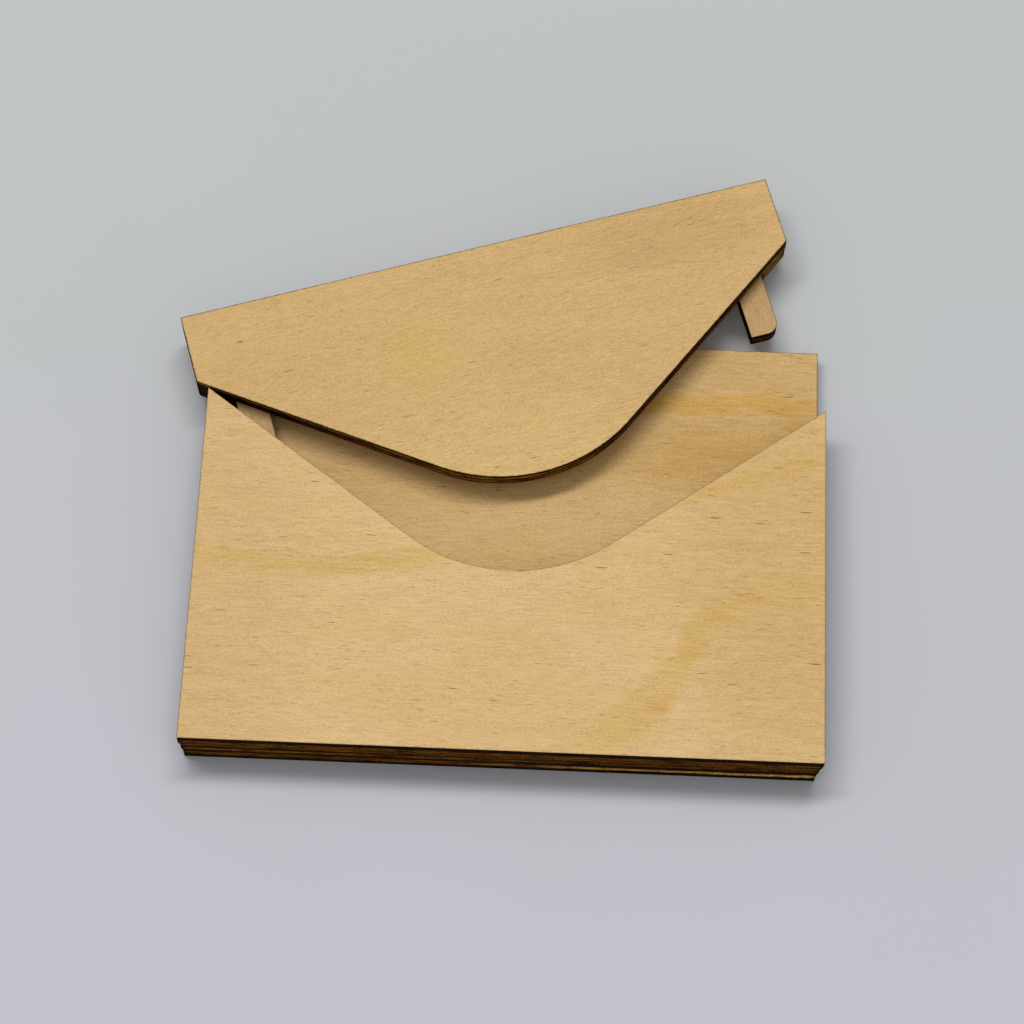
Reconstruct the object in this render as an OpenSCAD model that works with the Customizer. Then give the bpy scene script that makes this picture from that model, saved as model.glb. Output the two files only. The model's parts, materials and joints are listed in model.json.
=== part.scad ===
// A flat envelope for a gift card, laser cut from thin birch plywood.
// The body is three sheets glued in a stack: back panel, pocket frame, front panel.
// The lid is two sheets: the lid front carries the tongue plate under it.
// The two tongues slide down into the pocket, and the lid's V edge closes on the front panel's notch.
// The envelope lies on its back. X runs across it, Y from its bottom edge to the lid, Z through the sheets.
// The origin is at the middle of the closed envelope, on its underside.

/* [Envelope] */
// Width of the envelope
envelope_w = 115; // [100:0.5:130]
// Height of the closed envelope, from its bottom edge to the lid's top edge
envelope_h = 83.4; // [78:0.1:100]
// Thickness of each plywood sheet
sheet_t = 3; // [2.5:0.1:4]

/* [Notch] */
// Height of the notch's two tips above the bottom edge
tip_h = 69.5; // [64:0.1:72]
// Slope of the notch's straight sides, in degrees
notch_slope = 36.1; // [30:0.1:38]
// Radius of the notch's round bottom, measured on the lid
notch_r = 31; // [15:0.2:36]
// Width that the laser burns away between the lid and the front panel
saw_gap = 0.2; // [0.1:0.05:0.4]

/* [Pocket] */
// Width of the strip that closes each side of the pocket
side_strip_w = 5.4; // [4:0.1:6]
// Width of the strip that closes the bottom of the pocket
bottom_strip_w = 6; // [4:0.5:10]
// Radius of the pocket's two bottom corners
pocket_corner_r = 2; // [1:0.5:5]

/* [Glued stack] */
// How far the pocket frame sits in from the front panel's left edge
frame_in_left = 0.3; // [0:0.1:1.5]
// How far the pocket frame sits in from the front panel's right edge
frame_in_right = 0.5; // [0:0.1:1.5]
// How far the back panel sits in from the front panel's left edge
back_in_left = 0.6; // [0:0.1:1.5]
// How far the back panel sits in from the front panel's right edge
back_in_right = 1.1; // [0:0.1:1.5]
// How far the back panel stands out below the front panel's bottom edge
back_out_low = 0.2; // [0:0.1:1]
// How far the back panel stands out above the closed lid's top edge
back_out_high = 0.7; // [0:0.1:1]

/* [Tongues] */
// Distance from the lid's side to the outer edge of its tongue
tongue_inset = 6.2; // [6.2:0.1:8]
// Width of each tongue
tongue_w = 5.6; // [4:0.1:10]
// How far each tongue reaches below the notch's tips
tongue_reach = 16.7; // [10:0.1:20]
// Radius of the outer corner at each tongue's end
tongue_corner_r = 2.4; // [1:0.1:3]
// Height of the bar that joins the tongues, down from the lid's top edge
tongue_bar_h = 12; // [8:0.5:13]
// Radius of the corners between the bar and the tongues
bar_corner_r = 3; // [1:0.5:5]
// Clearance above and below the tongues in the pocket
tongue_clearance = 0.05; // [0.03:0.01:0.1]

/* [Lid pose] */
// Tilt of the half open lid, in degrees from closed
lid_tilt = 17.5; // [0:0.1:20]
// Distance from the envelope's left edge out to the point that the lid swings about
swing_out = 3.9; // [3:0.1:8]
// Height of that point above the bottom edge
swing_h = 62.6; // [58:0.1:64]

/* [Hidden] */
// Segments on the round stretches, which stay true arcs
$fn = 96;
// Length by which a cutting shape passes the edge that it cuts
over = 1;
// Middle of the envelope's width
mid_x = envelope_w / 2;
// Undersides of the body's three sheets
back_z = 0;
frame_z = back_z + sheet_t;
front_z = frame_z + sheet_t;
// The tongue plate is thinner by its clearances, and the lid front lies on it
tongue_t = sheet_t - 2 * tongue_clearance;
tongue_z = frame_z + tongue_clearance;
lid_z = tongue_z + tongue_t;
// Height of the tongues' ends above the bottom edge
tongue_end_h = tip_h - tongue_reach;
// Centre of the notch's round bottom, on the line where both sides are tangent to it
notch_centre_h = tip_h - mid_x * tan(notch_slope) + notch_r / cos(notch_slope);

// Height of a straight side of the notch at a distance from its own edge of the envelope.
// grow moves the side outwards, square to itself.
function side_h(from_edge, grow) = tip_h - from_edge * tan(notch_slope) - grow / cos(notch_slope);

// Everything above the V edge: two straight sides, tangent to a round tip.
// grow makes it larger all along the V.
module above_notch(grow) {
    r = notch_r + grow;
    tangent_x = r * sin(notch_slope);
    tangent_h = notch_centre_h - r * cos(notch_slope);
    top_h = envelope_h + over;
    polygon([
        [-over, top_h],
        [-over, side_h(-over, grow)],
        [mid_x - tangent_x, tangent_h],
        [mid_x + tangent_x, tangent_h],
        [envelope_w + over, side_h(-over, grow)],
        [envelope_w + over, top_h]
    ]);
    intersection() {
        translate([mid_x, notch_centre_h]) circle(r);
        translate([0, tangent_h - r]) square([envelope_w, r + over]);
    }
}

// A copy on the right of what is drawn on the left
module both_sides() {
    children();
    translate([envelope_w, 0]) mirror([1, 0]) children();
}

// A sheet cut to the outline drawn, from a given height up, in the part's own frame
module sheet(z, thickness) {
    translate([-mid_x, -envelope_h / 2, z]) linear_extrude(thickness) children();
}

// The lid's outlines, turned from closed to its half open pose
module tilt_lid() {
    translate([-swing_out, swing_h]) rotate(lid_tilt) translate([swing_out, -swing_h]) children();
}

// A square corner less the quarter circle that rounds it, to cut a corner or to fill one.
// The corner is at the origin and points down and to the left.
module corner_rest(r) {
    difference() {
        square(r);
        translate([r, r]) circle(r);
    }
}

module back_panel() {
    color("burlywood")
        sheet(back_z, sheet_t)
            translate([back_in_left, -back_out_low])
                square([
                    envelope_w - back_in_left - back_in_right,
                    envelope_h + back_out_low + back_out_high
                ]);
}

// A U of plywood that keeps the panels one sheet apart. Its ends are cut to the notch's slope.
module pocket_frame() {
    pocket_w = envelope_w - 2 * side_strip_w;
    color("wheat")
        sheet(frame_z, sheet_t) {
            difference() {
                translate([frame_in_left, 0])
                    square([envelope_w - frame_in_left - frame_in_right, tip_h]);
                translate([side_strip_w, bottom_strip_w]) square([pocket_w, tip_h]);
                above_notch(saw_gap);
            }
            both_sides() translate([side_strip_w, bottom_strip_w]) corner_rest(pocket_corner_r);
        }
}

module front_panel() {
    color("navajowhite")
        sheet(front_z, sheet_t)
            difference() {
                square([envelope_w, tip_h]);
                above_notch(saw_gap);
            }
}

// The plate under the lid front: a bar, a shoulder at each side and the two tongues
module lid_tongue_plate() {
    bar_low_h = envelope_h - tongue_bar_h;
    inner_x = tongue_inset + tongue_w;
    color("wheat")
        sheet(tongue_z, tongue_t)
            tilt_lid() {
                translate([0, bar_low_h]) square([envelope_w, tongue_bar_h]);
                both_sides() {
                    polygon([
                        [0, side_h(0, 0)],
                        [tongue_inset, side_h(tongue_inset, 0)],
                        [tongue_inset, envelope_h],
                        [0, envelope_h]
                    ]);
                    difference() {
                        translate([tongue_inset, tongue_end_h])
                            square([tongue_w, envelope_h - tongue_end_h]);
                        translate([tongue_inset, tongue_end_h]) corner_rest(tongue_corner_r);
                    }
                    translate([inner_x, bar_low_h]) mirror([0, 1]) corner_rest(bar_corner_r);
                }
            }
}

module lid_front() {
    color("navajowhite")
        sheet(lid_z, sheet_t)
            tilt_lid()
                intersection() {
                    square([envelope_w, envelope_h]);
                    above_notch(0);
                }
}

back_panel();
pocket_frame();
front_panel();
lid_tongue_plate();
lid_front();
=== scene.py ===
"""An envelope for a gift card, laser cut from birch plywood, finished around its packed construction.

Five sheets lie flat in a stack: a back panel, a pocket frame and a front panel glued together, and a lid of
two sheets whose tongues slide into the pocket. X runs across the envelope, Y from its bottom edge to the
lid, and Z up through the sheets. Outlines are drawn on the closed envelope, in millimetres from its lower
left corner, and each sheet is carried into the frame in metres.
"""

import json
import math

import bpy
import numpy as np
from mathutils import Euler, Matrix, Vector


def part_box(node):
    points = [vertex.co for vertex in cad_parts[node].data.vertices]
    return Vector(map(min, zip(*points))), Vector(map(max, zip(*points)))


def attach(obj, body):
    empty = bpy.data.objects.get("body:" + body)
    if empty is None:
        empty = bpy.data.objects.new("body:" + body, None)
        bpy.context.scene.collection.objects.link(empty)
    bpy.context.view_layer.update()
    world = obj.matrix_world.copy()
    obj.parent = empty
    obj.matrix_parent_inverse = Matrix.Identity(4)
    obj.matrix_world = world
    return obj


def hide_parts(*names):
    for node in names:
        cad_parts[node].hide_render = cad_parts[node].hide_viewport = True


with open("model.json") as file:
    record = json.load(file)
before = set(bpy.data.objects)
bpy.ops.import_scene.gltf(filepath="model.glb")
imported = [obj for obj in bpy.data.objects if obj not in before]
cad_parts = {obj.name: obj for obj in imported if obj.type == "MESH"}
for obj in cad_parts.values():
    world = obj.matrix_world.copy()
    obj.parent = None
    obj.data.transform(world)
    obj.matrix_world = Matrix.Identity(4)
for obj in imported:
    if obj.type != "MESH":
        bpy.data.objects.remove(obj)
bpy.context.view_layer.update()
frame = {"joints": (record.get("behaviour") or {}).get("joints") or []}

MM = 0.001

# Sizes that the frame's own boxes and joint give
front_low, front_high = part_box("front_panel")
back_low, back_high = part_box("back_panel")
pocket_low, pocket_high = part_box("pocket_frame")
swing = frame["joints"][0]
envelope_w = (front_high.x - front_low.x) / MM
lid_tilt = math.radians(-swing["range_deg"][0])
swing_x = (swing["pos_m"][0] - front_low.x) / MM
swing_h = (swing["pos_m"][1] - front_low.y) / MM
frame_left = (pocket_low.x - front_low.x) / MM
frame_right = (pocket_high.x - front_low.x) / MM
back_left = (back_low.x - front_low.x) / MM
back_right = (back_high.x - front_low.x) / MM
back_bottom = (back_low.y - front_low.y) / MM
back_top = (back_high.y - front_low.y) / MM

# Sizes of the cuts, as in the construction, in millimetres and degrees
envelope_h = 83.4
tip_h = 69.5
notch_slope = math.radians(36.1)
notch_r = 31
saw_gap = 0.2
side_strip_w = 5.4
bottom_strip_w = 6
pocket_corner_r = 2
tongue_inset = 6.2
tongue_w = 5.6
tongue_reach = 16.7
tongue_corner_r = 2.4
tongue_bar_h = 12
bar_corner_r = 3
mid_x = envelope_w / 2

# Fine shape of a laser cut, in millimetres
worn_corner_r = 0.09
shoulder_corner_r = 0.9
inner_corner_r = 0.1
least_corner_r = 0.02
arris = 0.05
glue_groove = 0.03
glue_groove_w = 0.07
# Distance from the right end over which a leaning cut moves a sheet's edge
lean_reach = 3
# How far in from the cut the rings of a sheet's face lie
scorch_rings = (0.2, 0.6, 1.5)
# The first ring of the cut edge
cut_ring = len(scorch_rings)
# Depth and height of a rounded arris's middle ring, as a share of the arris
arris_middle = 0.3

# Steps along a cut: straight stretches in millimetres, and arcs in steps to an arc
step_length = 2.0
least_steps = 2
notch_arc_steps = 64
corner_arc_steps = 14
worn_arc_steps = 5
# Radii above which an arc takes the steps of a corner, and those of the notch
least_plain_r = 0.5
least_notch_r = 10
# Steps shorter than this belong to a worn corner
short_step = 0.2


def side_h(from_edge, grow):
    """Height of a straight side of the notch at a distance from the envelope's edge, moved out by grow.

    It is the tip's height, less the distance times the slope's tangent, less grow over its cosine.
    """
    return tip_h - from_edge * math.tan(notch_slope) - grow / math.cos(notch_slope)


def back_outline():
    """Corners and corner radii of the back panel, a plain rectangle."""
    corners = [
        (back_left, back_bottom),
        (back_right, back_bottom),
        (back_right, back_top),
        (back_left, back_top),
    ]
    return corners, [worn_corner_r] * 4


def front_outline():
    """Corners and radii of the front panel: its notch is one inward corner with a large radius."""
    corners = [
        (0, 0),
        (envelope_w, 0),
        (envelope_w, side_h(0, saw_gap)),
        (mid_x, side_h(mid_x, saw_gap)),
        (0, side_h(0, saw_gap)),
    ]
    return corners, [worn_corner_r] * 3 + [notch_r + saw_gap, worn_corner_r]


def pocket_outline():
    """Corners and radii of the pocket frame, a U whose ends are cut to the notch's slope."""
    inner_left = side_strip_w
    inner_right = envelope_w - side_strip_w
    corners = [
        (frame_left, 0),
        (frame_right, 0),
        (frame_right, side_h(envelope_w - frame_right, saw_gap)),
        (inner_right, side_h(side_strip_w, saw_gap)),
        (inner_right, bottom_strip_w),
        (inner_left, bottom_strip_w),
        (inner_left, side_h(side_strip_w, saw_gap)),
        (frame_left, side_h(frame_left, saw_gap)),
    ]
    return corners, [worn_corner_r] * 4 + [pocket_corner_r] * 2 + [worn_corner_r] * 2


def lid_outline():
    """Corners and radii of the lid front, whose V edge has one outward corner with a large radius."""
    corners = [
        (0, side_h(0, 0)),
        (mid_x, side_h(mid_x, 0)),
        (envelope_w, side_h(0, 0)),
        (envelope_w, envelope_h),
        (0, envelope_h),
    ]
    return corners, [worn_corner_r, notch_r] + [worn_corner_r] * 3


def tongue_plate_outline():
    """Corners and radii of the tongue plate: shoulder, tongue and bar on the left, then their mirror."""
    inner_x = tongue_inset + tongue_w
    end_h = tip_h - tongue_reach
    left = [
        ((0, envelope_h), worn_corner_r),
        ((0, side_h(0, 0)), shoulder_corner_r),
        ((tongue_inset, side_h(tongue_inset, 0)), inner_corner_r),
        ((tongue_inset, end_h), tongue_corner_r),
        ((inner_x, end_h), worn_corner_r),
        ((inner_x, envelope_h - tongue_bar_h), bar_corner_r),
    ]
    right = [((envelope_w - x, y), r) for (x, y), r in reversed(left)]
    corners, radii = zip(*(left + right))
    return list(corners), list(radii)


def cut_path(corners, radii, inset):
    """The points of the closed path of a cut, moved into the sheet by inset.

    Every side of the polygon moves in by inset, square to itself, so a corner moves along the sum of its two
    normals over one plus their dot product. A corner then becomes an arc tangent to its two sides, whose
    radius shrinks by inset where the outline turns out and grows by it where it turns in. The straight
    stretches between the arcs are cut into even steps. Every inset has the same number of points.
    """
    corners = np.array(corners, float)
    radii = np.array(radii, float)
    to_here = corners - np.roll(corners, 1, axis=0)
    arrive = to_here / np.linalg.norm(to_here, axis=1)[:, None]
    leave = np.roll(arrive, -1, axis=0)
    inward_arrive = np.stack([-arrive[:, 1], arrive[:, 0]], axis=1)
    inward_leave = np.roll(inward_arrive, -1, axis=0)
    cosine = (arrive * leave).sum(axis=1)
    turn = np.arctan2(arrive[:, 0] * leave[:, 1] - arrive[:, 1] * leave[:, 0], cosine)
    side = np.sign(turn)
    moved = corners + inset * (inward_arrive + inward_leave) / (1 + cosine)[:, None]
    r = np.maximum(radii - side * inset, least_corner_r)
    start = moved - arrive * (r * np.tan(np.abs(turn) / 2))[:, None]
    centre = start + inward_arrive * (side * r)[:, None]
    arc_steps = np.where(radii > least_plain_r, corner_arc_steps, worn_arc_steps)
    arc_steps = np.where(radii > least_notch_r, notch_arc_steps, arc_steps)
    lengths = np.linalg.norm(np.roll(to_here, -1, axis=0), axis=1)
    straight_steps = np.maximum(least_steps, np.round(lengths / step_length)).astype(int)

    arcs = []
    for c, s, a, n in zip(centre, start, turn, arc_steps):
        angle = a * np.linspace(0, 1, n + 1)[:, None]
        spoke = s - c
        square = np.array([-spoke[1], spoke[0]])
        arcs.append(c + spoke * np.cos(angle) + square * np.sin(angle))
    pieces = []
    for arc, next_arc, n in zip(arcs, arcs[1:] + arcs[:1], straight_steps):
        share = np.linspace(0, 1, n + 1)[1:-1, None]
        pieces += [arc, arc[-1] * (1 - share) + next_arc[0] * share]
    return np.concatenate(pieces)


def cut_profile(thickness):
    """The rings of a sheet from its underside, round its cut edge, to its top, each as inset and height.

    Both faces have a few rings close to the cut. The arrises are rounded, and the edge dips at the two glue
    lines, which lie a third of the thickness from each face.
    """
    face = [(inset, 0.0) for inset in scorch_rings[::-1]]
    rounding = [(arris, 0.0), (arris * arris_middle, arris * arris_middle), (0.0, arris)]
    glue_line = thickness / 3
    groove = [
        (0.0, glue_line - glue_groove_w),
        (glue_groove, glue_line),
        (0.0, glue_line + glue_groove_w),
    ]
    lower = np.array(face + rounding + groove)
    upper = lower[::-1] * (1, -1) + (0, thickness)
    return np.concatenate([lower, upper])


def sheet(name, outline, low_z, high_z, tilt, lean):
    """One plywood sheet: its cut path carried through the rings of the profile, closed by two flat faces.

    The point at place i of ring j is the cut path at that ring's inset and height. The laser leant at the
    right end, so a point within lean_reach of it moves left by lean, times its nearness to that end, times
    its share of the way down. A tilted sheet is turned about the point that the lid swings about.
    """
    profile = cut_profile((high_z - low_z) / MM)
    up = profile[:, 1] / profile[-1, 1]
    corners, radii = outline
    rings = np.stack([cut_path(corners, radii, inset) for inset, _ in profile])
    nearness = np.clip(1 - (rings[..., 0].max() - rings[..., 0]) / lean_reach, 0, 1)
    rings[..., 0] -= lean * nearness * (1 - up)[:, None]
    hub = np.array([swing_x, swing_h])
    turn = np.array([[math.cos(tilt), math.sin(tilt)], [-math.sin(tilt), math.cos(tilt)]])
    flat = (rings - hub) @ turn + hub
    height = np.broadcast_to(profile[:, 1][:, None], flat.shape[:2])
    points = np.concatenate([flat, height[..., None]], axis=2) * MM
    points += (front_low.x, front_low.y, low_z)

    count = rings.shape[1]
    j, i = np.meshgrid(np.arange(len(profile) - 1), np.arange(count), indexing="ij")
    here = j * count + i
    ahead = j * count + (i + 1) % count
    walls = np.stack([here, ahead, ahead + count, here + count], axis=2).reshape(-1, 4)
    underside = np.arange(count)[::-1]
    top = np.arange(count) + (len(profile) - 1) * count
    mesh = bpy.data.meshes.new(name)
    mesh.from_pydata(points.reshape(-1, 3), [], walls.tolist() + [underside.tolist(), top.tolist()])

    mark_cut(mesh, j.ravel(), len(profile))
    along = np.roll(rings[cut_ring], -1, axis=0) - rings[cut_ring]
    steps = np.linalg.norm(along, axis=1)
    run = np.concatenate([[0.0], np.cumsum(steps)])
    lay_along_the_cut(mesh, run, up, np.concatenate([rings[0][::-1], rings[-1]]))
    direction = along + np.roll(along, 1, axis=0)
    runs_across = direction[:, 0] ** 2 / (direction ** 2).sum(axis=1)
    is_worn = np.minimum(steps, np.roll(steps, 1)) < short_step
    store(mesh, "runs_across", np.tile(runs_across, len(profile)))
    store(mesh, "at_corner", np.tile(is_worn, len(profile)))
    store(mesh, "from_cut", np.repeat(profile[:, 0], count))
    mesh.update()
    piece = bpy.data.objects.new(name, mesh)
    bpy.context.scene.collection.objects.link(piece)
    return piece


def mark_cut(mesh, ring_of_wall, ring_count):
    """Slot 1 and smooth shading for the walls of the cut edge, slot 0 and flat shading for the faces."""
    is_cut = (ring_of_wall >= cut_ring) & (ring_of_wall < ring_count - 1 - cut_ring)
    is_cut = np.append(is_cut, [False, False])
    mesh.polygons.foreach_set("material_index", is_cut.astype(np.int32))
    mesh.polygons.foreach_set("use_smooth", is_cut)


def lay_along_the_cut(mesh, run, up, flat_faces):
    """A UV map whose U is the run along the cut in millimetres and whose V is the share of the thickness.

    The two flat faces come last and take the places given.
    """
    j, i = np.meshgrid(np.arange(len(up) - 1), np.arange(len(run) - 1), indexing="ij")
    corners = ((i, j), (i + 1, j), (i + 1, j + 1), (i, j + 1))
    walls = np.stack([np.stack([run[a], up[b]], axis=2) for a, b in corners], axis=2)
    layer = mesh.uv_layers.new(name="along_the_cut")
    layer.data.foreach_set("uv", np.concatenate([walls.reshape(-1, 2), flat_faces]).ravel())


def store(mesh, name, values):
    """A number for each point of the mesh, as an attribute that the materials read."""
    attribute = mesh.attributes.new(name, "FLOAT", "POINT")
    attribute.data.foreach_set("value", np.asarray(values, np.float32))


# The standard screen curve: where its straight start ends, that start's slope, and the power that follows
curve_knee = 0.04045
curve_slope = 12.92
curve_offset = 0.055
curve_power = 2.4
brightest = 255


def linear(red, green, blue):
    """A colour given as 0 to 255 on a screen, as the shader's linear red, green, blue and alpha.

    A dark share of the brightest is divided by the curve's slope. A lighter one has the offset added, is
    divided by one plus the offset, and is raised to the power.
    """
    share = np.array([red, green, blue]) / brightest
    lighter = ((share + curve_offset) / (1 + curve_offset)) ** curve_power
    value = np.where(share <= curve_knee, share / curve_slope, lighter)
    return (*value.tolist(), 1.0)


# Places of the colours among the sockets of a Mix node
mix_colour_inputs = (6, 7)
mix_colour_output = 2
# A short mark's least reach and least strength, as shares of the whole, and the width of its soft edge
least_reach = 0.4
least_strength = 0.3
mark_edge = 0.5


class Finish:
    """One material, whose nodes are added and linked by short calls."""

    def __init__(self, name):
        self.material = bpy.data.materials.new(name)
        self.material.use_nodes = True
        self.tree = self.material.node_tree

    def add(self, kind, inputs, **settings):
        """A node with its settings made, and each input either linked or set."""
        node = self.tree.nodes.new("ShaderNode" + kind)
        for name, value in settings.items():
            setattr(node, name, value)
        for name, value in inputs.items():
            self.put(value, node.inputs[name])
        return node

    def put(self, value, socket):
        """A link where the value is another node's output, and otherwise a plain value."""
        if isinstance(value, bpy.types.NodeSocket):
            self.tree.links.new(value, socket)
        else:
            socket.default_value = value

    def surface(self, name, value):
        """One of the shader's own inputs, linked or set."""
        self.put(value, self.tree.nodes["Principled BSDF"].inputs[name])

    def place(self, source, scale=(1, 1, 1), location=(0, 0, 0), turn=0.0):
        """Coordinates scaled, then turned about Z, then moved."""
        node = self.add("Mapping", {
            "Vector": source,
            "Scale": scale,
            "Rotation": Euler((0, 0, turn)),
            "Location": location,
        })
        return node.outputs["Vector"]

    def noise(self, source, size, detail=2.0, roughness=0.5):
        """Soft noise about one half, whose bumps have the size given along X, Y and Z."""
        node = self.add("TexNoise", {
            "Vector": self.place(source, scale=[1 / s for s in size]),
            "Scale": 1.0,
            "Detail": detail,
            "Roughness": roughness,
        })
        return node.outputs["Fac"]

    def waver(self, source, size, detail, roughness):
        """Soft noise about nought."""
        return self.math("SUBTRACT", self.noise(source, size, detail, roughness), 0.5)

    def sum(self, first, second, share=1.0):
        """The first number and a share of the second."""
        node = self.add("Math", {0: second, 1: share, 2: first}, operation="MULTIPLY_ADD")
        return node.outputs["Value"]

    def math(self, operation, first, second=0.0):
        """One operation on two numbers."""
        node = self.add("Math", {0: first, 1: second}, operation=operation)
        return node.outputs["Value"]

    def ramp(self, value, low, high, start=0.0, end=1.0):
        """A smooth rise from start to end while the value goes from low to high."""
        node = self.add("MapRange", {
            "Value": value,
            "From Min": low,
            "From Max": high,
            "To Min": start,
            "To Max": end,
        }, interpolation_type="SMOOTHSTEP")
        return node.outputs["Result"]

    def mix(self, share, first, second, blend="MIX"):
        """Two colours mixed by a share."""
        node = self.add("Mix", {"Factor": share}, data_type="RGBA", blend_type=blend)
        self.put(first, node.inputs[mix_colour_inputs[0]])
        self.put(second, node.inputs[mix_colour_inputs[1]])
        return node.outputs[mix_colour_output]

    def shade(self, colour, value, shades):
        """A colour multiplied by the ramp of a value: shades gives its low, high, start and end."""
        return self.mix(1.0, colour, self.ramp(value, *shades), "MULTIPLY")

    def bump(self, height, strength, distance):
        """The surface raised by a height, where a height of one stands for the distance in metres."""
        node = self.add("Bump", {"Height": height, "Strength": strength, "Distance": distance})
        self.surface("Normal", node.outputs["Normal"])

    def layers(self, height, stops):
        """Colours that follow one another with height, each given with the height at which it is pure."""
        node = self.add("ValToRGB", {"Fac": height})
        band = node.color_ramp.elements
        for at, _ in stops[1:-1]:
            band.new(at)
        for element, (at, colour) in zip(band, stops):
            element.position = at
            element.color = linear(*colour)
        return node.outputs["Color"]

    def dashes(self, source, cell, reach, share, gather):
        """Short dashes along the grain: spots of a Voronoi pattern that is stretched along it.

        A cell's blue is its chance, and it keeps its dash where that is above one less the share times
        gather. Its red and green also place its spot, so they would line the kept dashes up. Its green gives
        the dash its length and strength.
        """
        stretched = self.place(source, scale=(1 / cell[0], 1 / cell[1], 1))
        cells = self.add("TexVoronoi", {"Vector": stretched, "Scale": 1.0}, voronoi_dimensions="2D")
        chance = self.add("SeparateColor", {"Color": cells.outputs["Color"]})
        own_reach = self.sum(reach * least_reach, chance.outputs["Green"], reach)
        spot = self.math("SUBTRACT", 1.0, self.math("DIVIDE", cells.outputs["Distance"], own_reach))
        limit = self.sum(1.0, gather, -share)
        is_kept = self.math("GREATER_THAN", chance.outputs["Blue"], limit)
        own_strength = self.sum(least_strength, chance.outputs["Green"], 1 - least_strength)
        shape = self.ramp(spot, 0.0, mark_edge)
        return self.math("MULTIPLY", self.math("MULTIPLY", shape, own_strength), is_kept)


def sheet_coordinates(finish, tilt):
    """Millimetres on the closed envelope, from its lower left corner, which turn with a tilted sheet.

    A place is turned back by the tilt, then moved by what takes the lid's swing point to its own place.
    """
    source = finish.add("TexCoord", {}).outputs["Object"]
    hub = Vector((swing["pos_m"][0], swing["pos_m"][1], 0)) / MM
    turned = Euler((0, 0, -tilt)).to_matrix() @ hub
    at = Vector((swing_x, swing_h, 0)) - turned
    return finish.place(source, scale=(1 / MM,) * 3, location=at, turn=-tilt)


# Sizes of the veneer's patterns in millimetres: along the grain, across it, and through the sheet
drift_size = (40, 13, 30)
flame_break_size = (9, 0.9, 5)
wander_size = (24, 8, 9)
fibre_size = (3.0, 0.36, 4)
grit_size = (0.55, 0.28, 1)
cloud_size = (12, 2.6, 9)
gather_size = (19, 7, 9)
ragged_size = (0.6, 0.6, 0.6)

# How far the fibres wander across the grain, in millimetres
wander_reach = 2.4
# Shares of the fibres, the grit and the clouds in the figure
figure_shares = (0.46, 0.46, 0.08)

# Cells of the short marks in millimetres along and across the grain, their reach, and the share that shows
fine_pore_cell = (2.8, 0.34)
fine_pore_reach = 0.24
fine_pore_share = 0.13
long_pore_cell = (9, 0.6)
long_pore_reach = 0.12
fleck_cell = (3.4, 0.4)
fleck_reach = 0.22
fleck_share = 0.25
# How far the flecks' pattern is moved from the pores'
fleck_shift = (31, 17, 0)

# Tones of the veneer's marks, 0 to 255 on a screen, and the strength at which the small ones show
DARK_FIBRE = (194, 182, 168)
FINE_PORE = (142, 104, 62)
fine_pore_strength = 0.5
LONG_PORE = (104, 70, 36)
long_pore_strength = 0.9
FLECK = (238, 208, 158)
fleck_strength = 0.3
SCORCH = (52, 32, 15)

# Ranges of the ramps: low and high, and for two of them the value at each
drift_range = (0.35, 0.65)
flame_break_range = (0.38, 0.6, 0.65, 1.0)
figure_range = (0.37, 0.6)
gather_range = (0.36, 0.64, 0.35, 1.6)
scorch_range = (-0.2, 0.1)

# How ragged the scorch's rim is, and the height over which a charred foot fades, in millimetres
scorch_ragged = 0.4
char_fade = 0.2
# Depths of the pores as shares of the figure's, and the depth that the whole relief stands for
long_pore_depth = 0.8
fine_pore_depth = 0.35
veneer_relief = 0.05 * MM
veneer_bump = 0.5
# Roughness in the dark fibres, and between them
veneer_roughness = (0.72, 0.6)
veneer_specular = 0.3

# A height below every sheet, for a face that isn't charred at its foot
nowhere = -10


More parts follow.
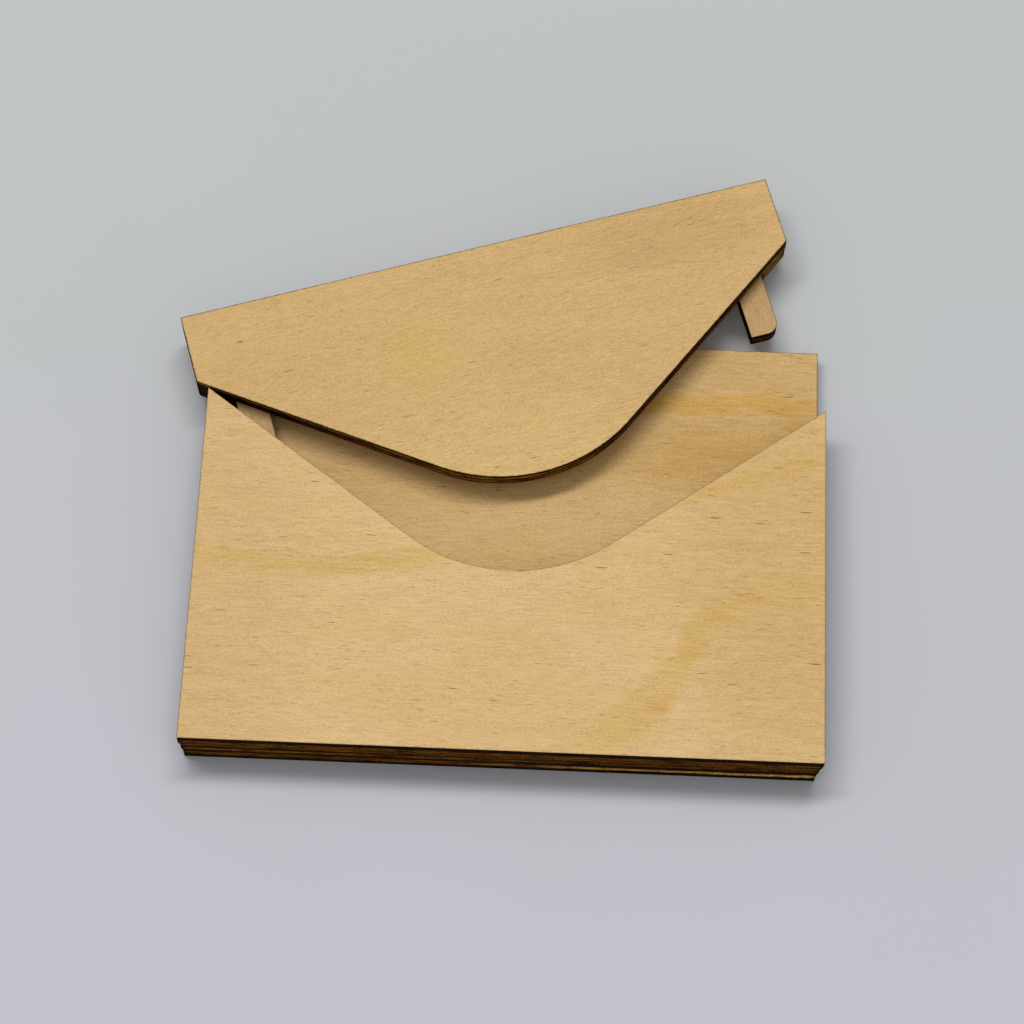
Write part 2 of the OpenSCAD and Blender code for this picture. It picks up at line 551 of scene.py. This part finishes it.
def birch(name, tilt, shift, pale, warm, flames_and_painted_shade, depth, pores, scorch, grain_turn=0, charred_below=nowhere):
    """A bare birch veneer: slow drifts of tone, the flame figure, fine fibres and dark pores, and painted
    shade on one sheet.

    shift gives each sheet its own stretch of the pattern. pale and warm are the two tones that it drifts
    between. Each entry of flames_and_painted_shade is a mask, its tone and its strength: mostly a flame of
    the figure, and on the back panel a darker patch of painted shade. depth is how darkly the fibres show,
    pores the share of places with a long pore, and scorch how darkly the laser has browned the face along
    its cuts.
    grain_turn turns the grain from the width of the envelope. The face is charred below a height, which lies
    outside most sheets.
    """
    finish = Finish(name)
    on_sheet = sheet_coordinates(finish, tilt)
    grain = finish.place(on_sheet, location=shift, turn=grain_turn)
    drift = finish.noise(grain, drift_size, detail=3)
    colour = finish.mix(finish.ramp(drift, *drift_range), linear(*pale), linear(*warm))
    broken = finish.noise(grain, flame_break_size, detail=3, roughness=0.6)
    broken = finish.ramp(broken, *flame_break_range)
    # Each mask tints the veneer: a flame of the figure, and on the back panel a patch of painted shade
    for flame, tone, strength in flames_and_painted_shade:
        mask = finish.math("MULTIPLY", flame(finish, on_sheet), finish.math("MULTIPLY", broken, strength))
        colour = finish.mix(mask, colour, linear(*tone))

    wander = finish.noise(grain, wander_size, detail=2)
    sway = finish.add("CombineXYZ", {"Y": finish.math("MULTIPLY", wander, wander_reach)}).outputs["Vector"]
    swayed = finish.add("VectorMath", {0: grain, 1: sway}, operation="ADD").outputs["Vector"]
    fibre = finish.noise(swayed, fibre_size, detail=4, roughness=0.78)
    grit = finish.noise(swayed, grit_size, detail=2, roughness=0.7)
    cloud = finish.noise(grain, cloud_size, detail=2)
    figure = finish.math("MULTIPLY", fibre, figure_shares[0])
    figure = finish.sum(figure, grit, figure_shares[1])
    figure = finish.sum(figure, cloud, figure_shares[2])
    darker = finish.mix(1.0, colour, linear(*DARK_FIBRE), "MULTIPLY")
    colour = finish.mix(finish.ramp(figure, *figure_range, depth, 0.0), colour, darker)

    gather = finish.ramp(finish.noise(grain, gather_size, detail=2), *gather_range)
    moved = finish.place(swayed, location=fleck_shift)
    fine = finish.dashes(swayed, fine_pore_cell, fine_pore_reach, fine_pore_share, gather)
    long = finish.dashes(swayed, long_pore_cell, long_pore_reach, pores, gather)
    fleck = finish.dashes(moved, fleck_cell, fleck_reach, fleck_share, gather)
    colour = finish.mix(finish.math("MULTIPLY", fine, fine_pore_strength), colour, linear(*FINE_PORE))
    colour = finish.mix(finish.math("MULTIPLY", long, long_pore_strength), colour, linear(*LONG_PORE))
    colour = finish.mix(finish.math("MULTIPLY", fleck, fleck_strength), colour, linear(*FLECK))

    from_cut = finish.add("Attribute", {}, attribute_name="from_cut").outputs["Fac"]
    ragged = finish.noise(grain, ragged_size, detail=3)
    rim = finish.ramp(finish.sum(from_cut, ragged, -scorch_ragged), *scorch_range, scorch, 0.0)
    height = finish.add("SeparateXYZ", {"Vector": on_sheet}).outputs["Y"]
    foot = finish.ramp(height, charred_below, charred_below + char_fade, 1.0, 0.0)
    colour = finish.mix(finish.math("MAXIMUM", rim, foot), colour, linear(*SCORCH))
    finish.surface("Base Color", colour)

    relief = finish.sum(figure, long, -long_pore_depth)
    relief = finish.sum(relief, fine, -fine_pore_depth)
    finish.bump(relief, veneer_bump, veneer_relief)
    finish.surface("Roughness", finish.ramp(figure, *figure_range, *veneer_roughness))
    finish.surface("Specular IOR Level", veneer_specular)
    return finish.material


# Sizes of the char's patterns: millimetres along the cut, and shares of the sheet's thickness up it
roll_size = (16, 1, 1)
tatter_size = (1.4, 0.5, 1)
rust_size = (11, 0.7, 1)
streak_size = (6, 0.16, 1)
burn_size = (0.5, 0.4, 1)

# How far the layers roll and tatter up and down, as shares of the thickness
roll_reach = 0.3
tatter_reach = 0.22
# Shares of the streaks and the burns in the mottle
streak_share = 0.7
burn_share = 0.3

# The cast that reddens the char in places, 0 to 255 on a screen, and the range over which it comes in
RUST_CAST = (255, 214, 196)
rust_range = (0.48, 0.68)
# Ramps that darken or lighten the char: low, high, start and end
mottle_shades = (0.4, 0.6, 0.15, 2.1)
# The stretches that run up the envelope are darkened to 0.3 of their char: painted shade
painted_side_shade = (0.0, 0.5, 0.3, 1.0)
corner_shades = (0.3, 1.0, 1.0, 0.35)
char_relief = 0.08 * MM
char_bump = 0.6
char_roughness = 0.8
char_specular = 0.02


def charred(name, tilt, shift, char):
    """A laser cut edge: char that changes with the height in the sheet, streaked along the cut.

    char starts with the colours from the sheet's underside up to its top, at the left end. Each later entry
    gives the two places across the envelope, in millimetres, between which other colours take over. The
    stretches that run up the envelope are darkened as painted shade on the char, and the worn corners are
    darker.
    """
    finish = Finish(name)
    uv = finish.add("UVMap", {}, uv_map="along_the_cut").outputs["UV"]
    height = finish.add("SeparateXYZ", {"Vector": uv}).outputs["Y"]
    moved = finish.place(uv, location=(shift[0], 0, 0))
    roll = finish.waver(moved, roll_size, detail=3, roughness=0.6)
    tatter = finish.waver(moved, tatter_size, detail=4, roughness=0.7)
    height = finish.sum(height, roll, roll_reach)
    height = finish.sum(height, tatter, tatter_reach)
    across = finish.add("SeparateXYZ", {"Vector": sheet_coordinates(finish, tilt)}).outputs["X"]
    colour = finish.layers(height, char[0])
    for start, end, plies in char[1:]:
        place = finish.sum(across, roll, end - start)
        colour = finish.mix(finish.ramp(place, start, end), colour, finish.layers(height, plies))

    rust = finish.ramp(finish.noise(moved, rust_size, detail=3), *rust_range)
    colour = finish.mix(rust, colour, linear(*RUST_CAST), "MULTIPLY")
    streak = finish.noise(moved, streak_size, detail=4, roughness=0.7)
    burn = finish.noise(moved, burn_size, detail=4, roughness=0.7)
    mottle = finish.sum(finish.math("MULTIPLY", streak, streak_share), burn, burn_share)
    colour = finish.shade(colour, mottle, mottle_shades)
    # Painted shade on the stretches that run up the envelope, then darker char at the worn corners
    for attribute, shades in (("runs_across", painted_side_shade), ("at_corner", corner_shades)):
        value = finish.add("Attribute", {}, attribute_name=attribute).outputs["Fac"]
        colour = finish.shade(colour, value, shades)
    finish.surface("Base Color", colour)
    finish.surface("Roughness", char_roughness)
    finish.surface("Specular IOR Level", char_specular)
    finish.bump(mottle, char_bump, char_relief)
    return finish.material


# Width and height of the field on which the flames' curves are drawn, in millimetres
field_w = 120
field_h = 90
# How ragged the bands and patches are: the size of the noise in millimetres, and how far it moves a band's
# edge
band_ragged_size = (7, 0.9, 5)
band_ragged_reach = 7
patch_ragged_size = (6, 1.5, 5)
# Distance from a patch's middle, with its noise, over which it fades out
patch_fade = (0.9, 1.7)


def band(low_curve, high_curve, softness):
    """A flame between two curves, each given by its points in millimetres across and up the sheet.

    It is the rise past the low curve times the rise below the high one, each over softness to both sides.
    """

    def mask(finish, on_sheet):
        parts = finish.add("SeparateXYZ", {"Vector": on_sheet})
        ragged = finish.waver(on_sheet, band_ragged_size, detail=4, roughness=0.65)
        up = finish.sum(parts.outputs["Y"], ragged, band_ragged_reach)
        across = finish.math("DIVIDE", parts.outputs["X"], field_w)
        sides = []
        for curve in (low_curve, high_curve):
            node = finish.add("FloatCurve", {"Value": across})
            line = node.mapping.curves[0]
            for x, y in curve[1:-1]:
                line.points.new(x / field_w, y / field_h)
            for point, (x, y) in zip((line.points[0], line.points[-1]), (curve[0], curve[-1])):
                point.location = (x / field_w, y / field_h)
            node.mapping.update()
            sides.append(finish.math("MULTIPLY", node.outputs["Value"], field_h))
        above = finish.ramp(finish.math("SUBTRACT", up, sides[0]), -softness, softness)
        below = finish.ramp(finish.math("SUBTRACT", sides[1], up), -softness, softness)
        return finish.math("MULTIPLY", above, below)

    return mask


def patch(x, y, half_w, half_h):
    """A soft patch of tone about one point, with its half width and half height given, in millimetres.

    It falls off with the distance from the point, measured in half widths and half heights.
    """

    def mask(finish, on_sheet):
        at = (-x / half_w, -y / half_h, 0)
        centred = finish.place(on_sheet, scale=(1 / half_w, 1 / half_h, 0), location=at)
        length = finish.add("VectorMath", {0: centred}, operation="LENGTH").outputs["Value"]
        ragged = finish.noise(on_sheet, patch_ragged_size, detail=3)
        return finish.ramp(finish.math("ADD", length, ragged), *patch_fade, 1.0, 0.0)

    return mask


# The front panel's two long flames and the back panel's one
low_flame = band(
    [(0, 34.4), (10, 33.2), (22, 32.8), (31, 33.1), (41, 34.8), (52, 37.6), (120, 60)],
    [(0, 37), (11, 36.9), (21, 36.2), (30, 36.4), (40, 38), (52, 41.4), (120, 62)],
    1.0,
)
slant_flame = band(
    [(0, 0), (70, 0), (79.8, 2.3), (86.3, 7.8), (89.5, 14.1), (93.6, 20.5), (97.7, 26.5), (104.4, 29.9),
     (120, 32.1)],
    [(0, 0), (66, 0), (71.5, 2.8), (76.3, 8.3), (82.8, 14.7), (87.7, 20.2), (90.9, 27.5), (96, 30),
     (104.4, 33.1), (120, 36)],
    2.2,
)
back_flame = band(
    [(0, 66), (40, 68), (80, 70), (98, 70.9), (120, 70.5)],
    [(0, 71), (40, 73), (80, 74.5), (98, 74.8), (120, 74.5)],
    0.8,
)

# Tones of the veneers' figure and of the char, 0 to 255 on a screen
YELLOW = (215, 178, 94)
ORANGE = (214, 160, 88)
BLACK = (32, 18, 7)
SOOT = (48, 27, 9)
RUST = (86, 46, 22)
EMBER = (62, 32, 14)
BROWN = (94, 59, 13)
OLIVE = (112, 82, 28)
TAN = (180, 142, 66)

# What sets the sheets apart. lean is how far in the right end's cut is at the underside, in millimetres.
SHEETS = {
    "back_panel": {
        "body": "body",
        "slot": "birch_back_sheet",
        "outline": back_outline(),
        "tilt": 0.0,
        "lean": 0.12,
        "shift": (13, 211, 40),
        "veneer": {
            "pale": (219, 182, 122),
            "warm": (214, 175, 112),
            "flames_and_painted_shade": [
                # A darker patch low on the back panel's open face: painted shade from the walls and the lid
                # around it
                (patch(104, 62, 34, 9), (203, 161, 86), 0.85),
                (back_flame, (212, 164, 72), 0.85),
            ],
            "depth": 0.5,
            "pores": 0.06,
            "scorch": 0.5,
            "charred_below": 0.1,
        },
        "char": [
            [(0.0, BLACK), (0.36, BLACK), (0.48, BROWN), (0.88, BROWN), (0.97, SOOT), (1.0, SOOT)],
            (45, 100, [(0.0, BLACK), (0.5, BLACK), (0.6, TAN), (0.85, TAN), (0.95, SOOT), (1.0, BLACK)]),
        ],
    },
    "pocket_frame": {
        "body": "body",
        "slot": "birch_inner_sheet",
        "outline": pocket_outline(),
        "tilt": 0.0,
        "lean": 0.35,
        "shift": (57, 97, 12),
        "veneer": {
            "pale": (214, 178, 120),
            "warm": (210, 173, 112),
            "flames_and_painted_shade": [],
            "depth": 0.54,
            "pores": 0.05,
            "scorch": 0.6,
        },
        "char": [
            [(0.0, SOOT), (0.1, BROWN), (0.3, OLIVE), (0.42, SOOT), (0.66, SOOT), (0.78, BROWN),
             (1.0, BROWN)],
            (20, 90, [(0.0, BLACK), (0.2, SOOT), (0.3, BROWN), (0.6, SOOT), (0.7, BROWN), (1.0, BROWN)]),
        ],
    },
    "front_panel": {
        "body": "body",
        "slot": "birch_face_sheet",
        "outline": front_outline(),
        "tilt": 0.0,
        "lean": 0.29,
        "shift": (5, 33, 0),
        "veneer": {
            "pale": (229, 193, 136),
            "warm": (226, 189, 129),
            "flames_and_painted_shade": [
                (patch(108, 34, 22, 46), (213, 175, 110), 0.78),
                (patch(2, 30, 21, 60), (216, 180, 122), 0.75),
                (low_flame, (214, 175, 96), 0.7),
                (slant_flame, YELLOW, 0.6),
                (patch(85.5, 9.5, 2.6, 1.8), ORANGE, 0.5),
                (patch(90.2, 19.9, 2.2, 1.6), ORANGE, 0.4),
                (patch(94.7, 27.6, 2.6, 2), ORANGE, 0.5),
                (patch(101.4, 31.1, 4, 1.2), ORANGE, 0.4),
            ],
            "depth": 0.46,
            "pores": 0.06,
            "scorch": 0.4,
        },
        "char": [
            [(0.0, SOOT), (0.1, BROWN), (0.44, BROWN), (0.56, SOOT), (0.66, BLACK), (1.0, BLACK)],
            (20, 90, [(0.0, SOOT), (0.12, BROWN), (0.38, BROWN), (0.5, SOOT), (0.62, BLACK), (1.0, BLACK)]),
        ],
    },
    "lid_tongue_plate": {
        "body": "lid",
        "slot": "birch_inner_sheet",
        "outline": tongue_plate_outline(),
        "tilt": lid_tilt,
        "lean": 0.0,
        "shift": (83, 41, 7),
        "veneer": {
            "grain_turn": math.pi / 2,
            # The veneer's tones, darkened by painted shade from the lid above the tongues
            "pale": (202, 165, 114),
            "warm": (197, 159, 104),
            "flames_and_painted_shade": [],
            "depth": 0.54,
            "pores": 0.05,
            "scorch": 0.4,
        },
        "char": [
            [(0.0, BLACK), (0.2, SOOT), (0.35, RUST), (0.6, SOOT), (0.85, RUST), (1.0, BLACK)],
            (40, 90, [(0.0, BLACK), (0.28, BLACK), (0.42, BROWN), (0.56, SOOT), (0.7, BLACK), (1.0, BLACK)]),
            (109, 110, [(0.0, BLACK), (0.14, BLACK), (0.26, OLIVE), (0.9, OLIVE), (0.95, BROWN),
                        (1.0, SOOT)]),
        ],
    },
    "lid_front": {
        "body": "lid",
        "slot": "birch_face_sheet",
        "outline": lid_outline(),
        "tilt": lid_tilt,
        "lean": 0.0,
        "shift": (29, 151, 3),
        "veneer": {
            "pale": (218, 181, 120),
            "warm": (215, 177, 114),
            "flames_and_painted_shade": [
                (patch(41, 64, 8, 9), (217, 181, 104), 0.75),
                (patch(54, 38, 28, 16), (225, 189, 124), 0.8),
                (patch(61, 31, 14, 2.5), (223, 187, 110), 0.6),
                (patch(94, 77, 20, 9), (205, 165, 106), 0.72),
                (patch(86, 73, 9, 2.5), (202, 161, 106), 0.4),
                (patch(9.7, 75.5, 0.8, 0.3), (110, 76, 42), 0.8),
            ],
            "depth": 0.52,
            "pores": 0.03,
            "scorch": 0.8,
        },
        "char": [
            [(0.0, BLACK), (0.3, SOOT), (0.62, BLACK), (0.72, OLIVE), (0.84, OLIVE), (0.94, SOOT),
             (1.0, BLACK)],
            (15, 45, [(0.0, BLACK), (0.1, SOOT), (0.2, OLIVE), (0.42, BROWN), (0.5, BLACK), (0.6, OLIVE),
                      (0.78, OLIVE), (0.9, BLACK), (1.0, BLACK)]),
            (58, 76, [(0.0, BLACK), (0.14, SOOT), (0.28, BROWN), (0.42, SOOT), (0.68, EMBER), (0.84, BLACK),
                      (1.0, BLACK)]),
            (103, 107, [(0.0, OLIVE), (0.3, OLIVE), (0.44, SOOT), (0.7, SOOT), (1.0, BLACK)]),
        ],
    },
}

for name, about in SHEETS.items():
    low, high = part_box(name)
    tilt = about["tilt"]
    piece = sheet(name + "_birch", about["outline"], low.z, high.z, tilt, about["lean"])
    piece.data.materials.append(birch(name + "_veneer", tilt, about["shift"], **about["veneer"]))
    piece.data.materials.append(charred(name + "_cut_edge", tilt, about["shift"], about["char"]))
    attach(piece, about["body"])
    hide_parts(name)


# The table: half its width, its tones far from the viewer and near, and where they change over, in metres
table_half = 3.0
FAR_TABLE = (194, 197, 197)
NEAR_TABLE = (201, 201, 210)
table_range = (0.16, -0.06)
table_waver_size = (0.06, 0.06, 0.06)
table_waver = 0.1
table_roughness = 0.9
table_specular = 0.1

# The light: the sky's strength, and the lamp's size and place in metres and its power in watts
sky_strength = 0.445
lamp_w = 2.4
lamp_d = 0.32
lamp_at = (-0.3, 0.92, 2.0)
lamp_power = 32.5

# The camera, solved from the envelope's corners: lens, place in millimetres and turn in degrees
lens_length = 110.02
sensor_w = 36
camera_at = (10.34, -226.68, 532.81)
camera_turn = (23.84, 0.035, 2.454)


def floor():
    """A plain pale table top under the envelope, a little bluer towards the viewer."""
    mesh = bpy.data.meshes.new("table_top")
    corners = [(x * table_half, y * table_half, 0) for x, y in ((-1, -1), (1, -1), (1, 1), (-1, 1))]
    mesh.from_pydata(corners, [], [(0, 1, 2, 3)])
    table = bpy.data.objects.new("table_top", mesh)
    bpy.context.scene.collection.objects.link(table)
    finish = Finish("pale_table")
    source = finish.add("TexCoord", {}).outputs["Object"]
    depth = finish.add("SeparateXYZ", {"Vector": source}).outputs["Y"]
    depth = finish.sum(depth, finish.noise(source, table_waver_size, detail=2), table_waver)
    nearness = finish.ramp(depth, *table_range)
    colour = finish.mix(nearness, linear(*FAR_TABLE), linear(*NEAR_TABLE))
    finish.surface("Base Color", colour)
    finish.surface("Roughness", table_roughness)
    finish.surface("Specular IOR Level", table_specular)
    mesh.materials.append(finish.material)


def light():
    """An even pale sky, and one wide soft lamp above the envelope, behind it and a little to its left."""
    world = bpy.data.worlds.new("pale_room")
    world.use_nodes = True
    world.node_tree.nodes["Background"].inputs["Color"].default_value = (1, 1, 1, 1)
    world.node_tree.nodes["Background"].inputs["Strength"].default_value = sky_strength
    bpy.context.scene.world = world
    lamp = bpy.data.lights.new("soft_lamp", "AREA")
    lamp.shape = "RECTANGLE"
    lamp.size = lamp_w
    lamp.size_y = lamp_d
    lamp.energy = lamp_power
    holder = bpy.data.objects.new("soft_lamp", lamp)
    holder.location = lamp_at
    holder.rotation_euler = Vector(lamp_at).to_track_quat("Z", "Y").to_euler()
    bpy.context.scene.collection.objects.link(holder)


def camera():
    """The camera stands in front of the envelope and looks down at it, as the photograph does."""
    lens = bpy.data.cameras.new("camera")
    lens.lens = lens_length
    lens.sensor_width = sensor_w
    holder = bpy.data.objects.new("camera", lens)
    holder.location = Vector(camera_at) * MM
    holder.rotation_euler = Euler(np.radians(camera_turn))
    bpy.context.scene.collection.objects.link(holder)
    bpy.context.scene.camera = holder


floor()
light()
camera()
bpy.context.scene.view_settings.view_transform = "Standard"
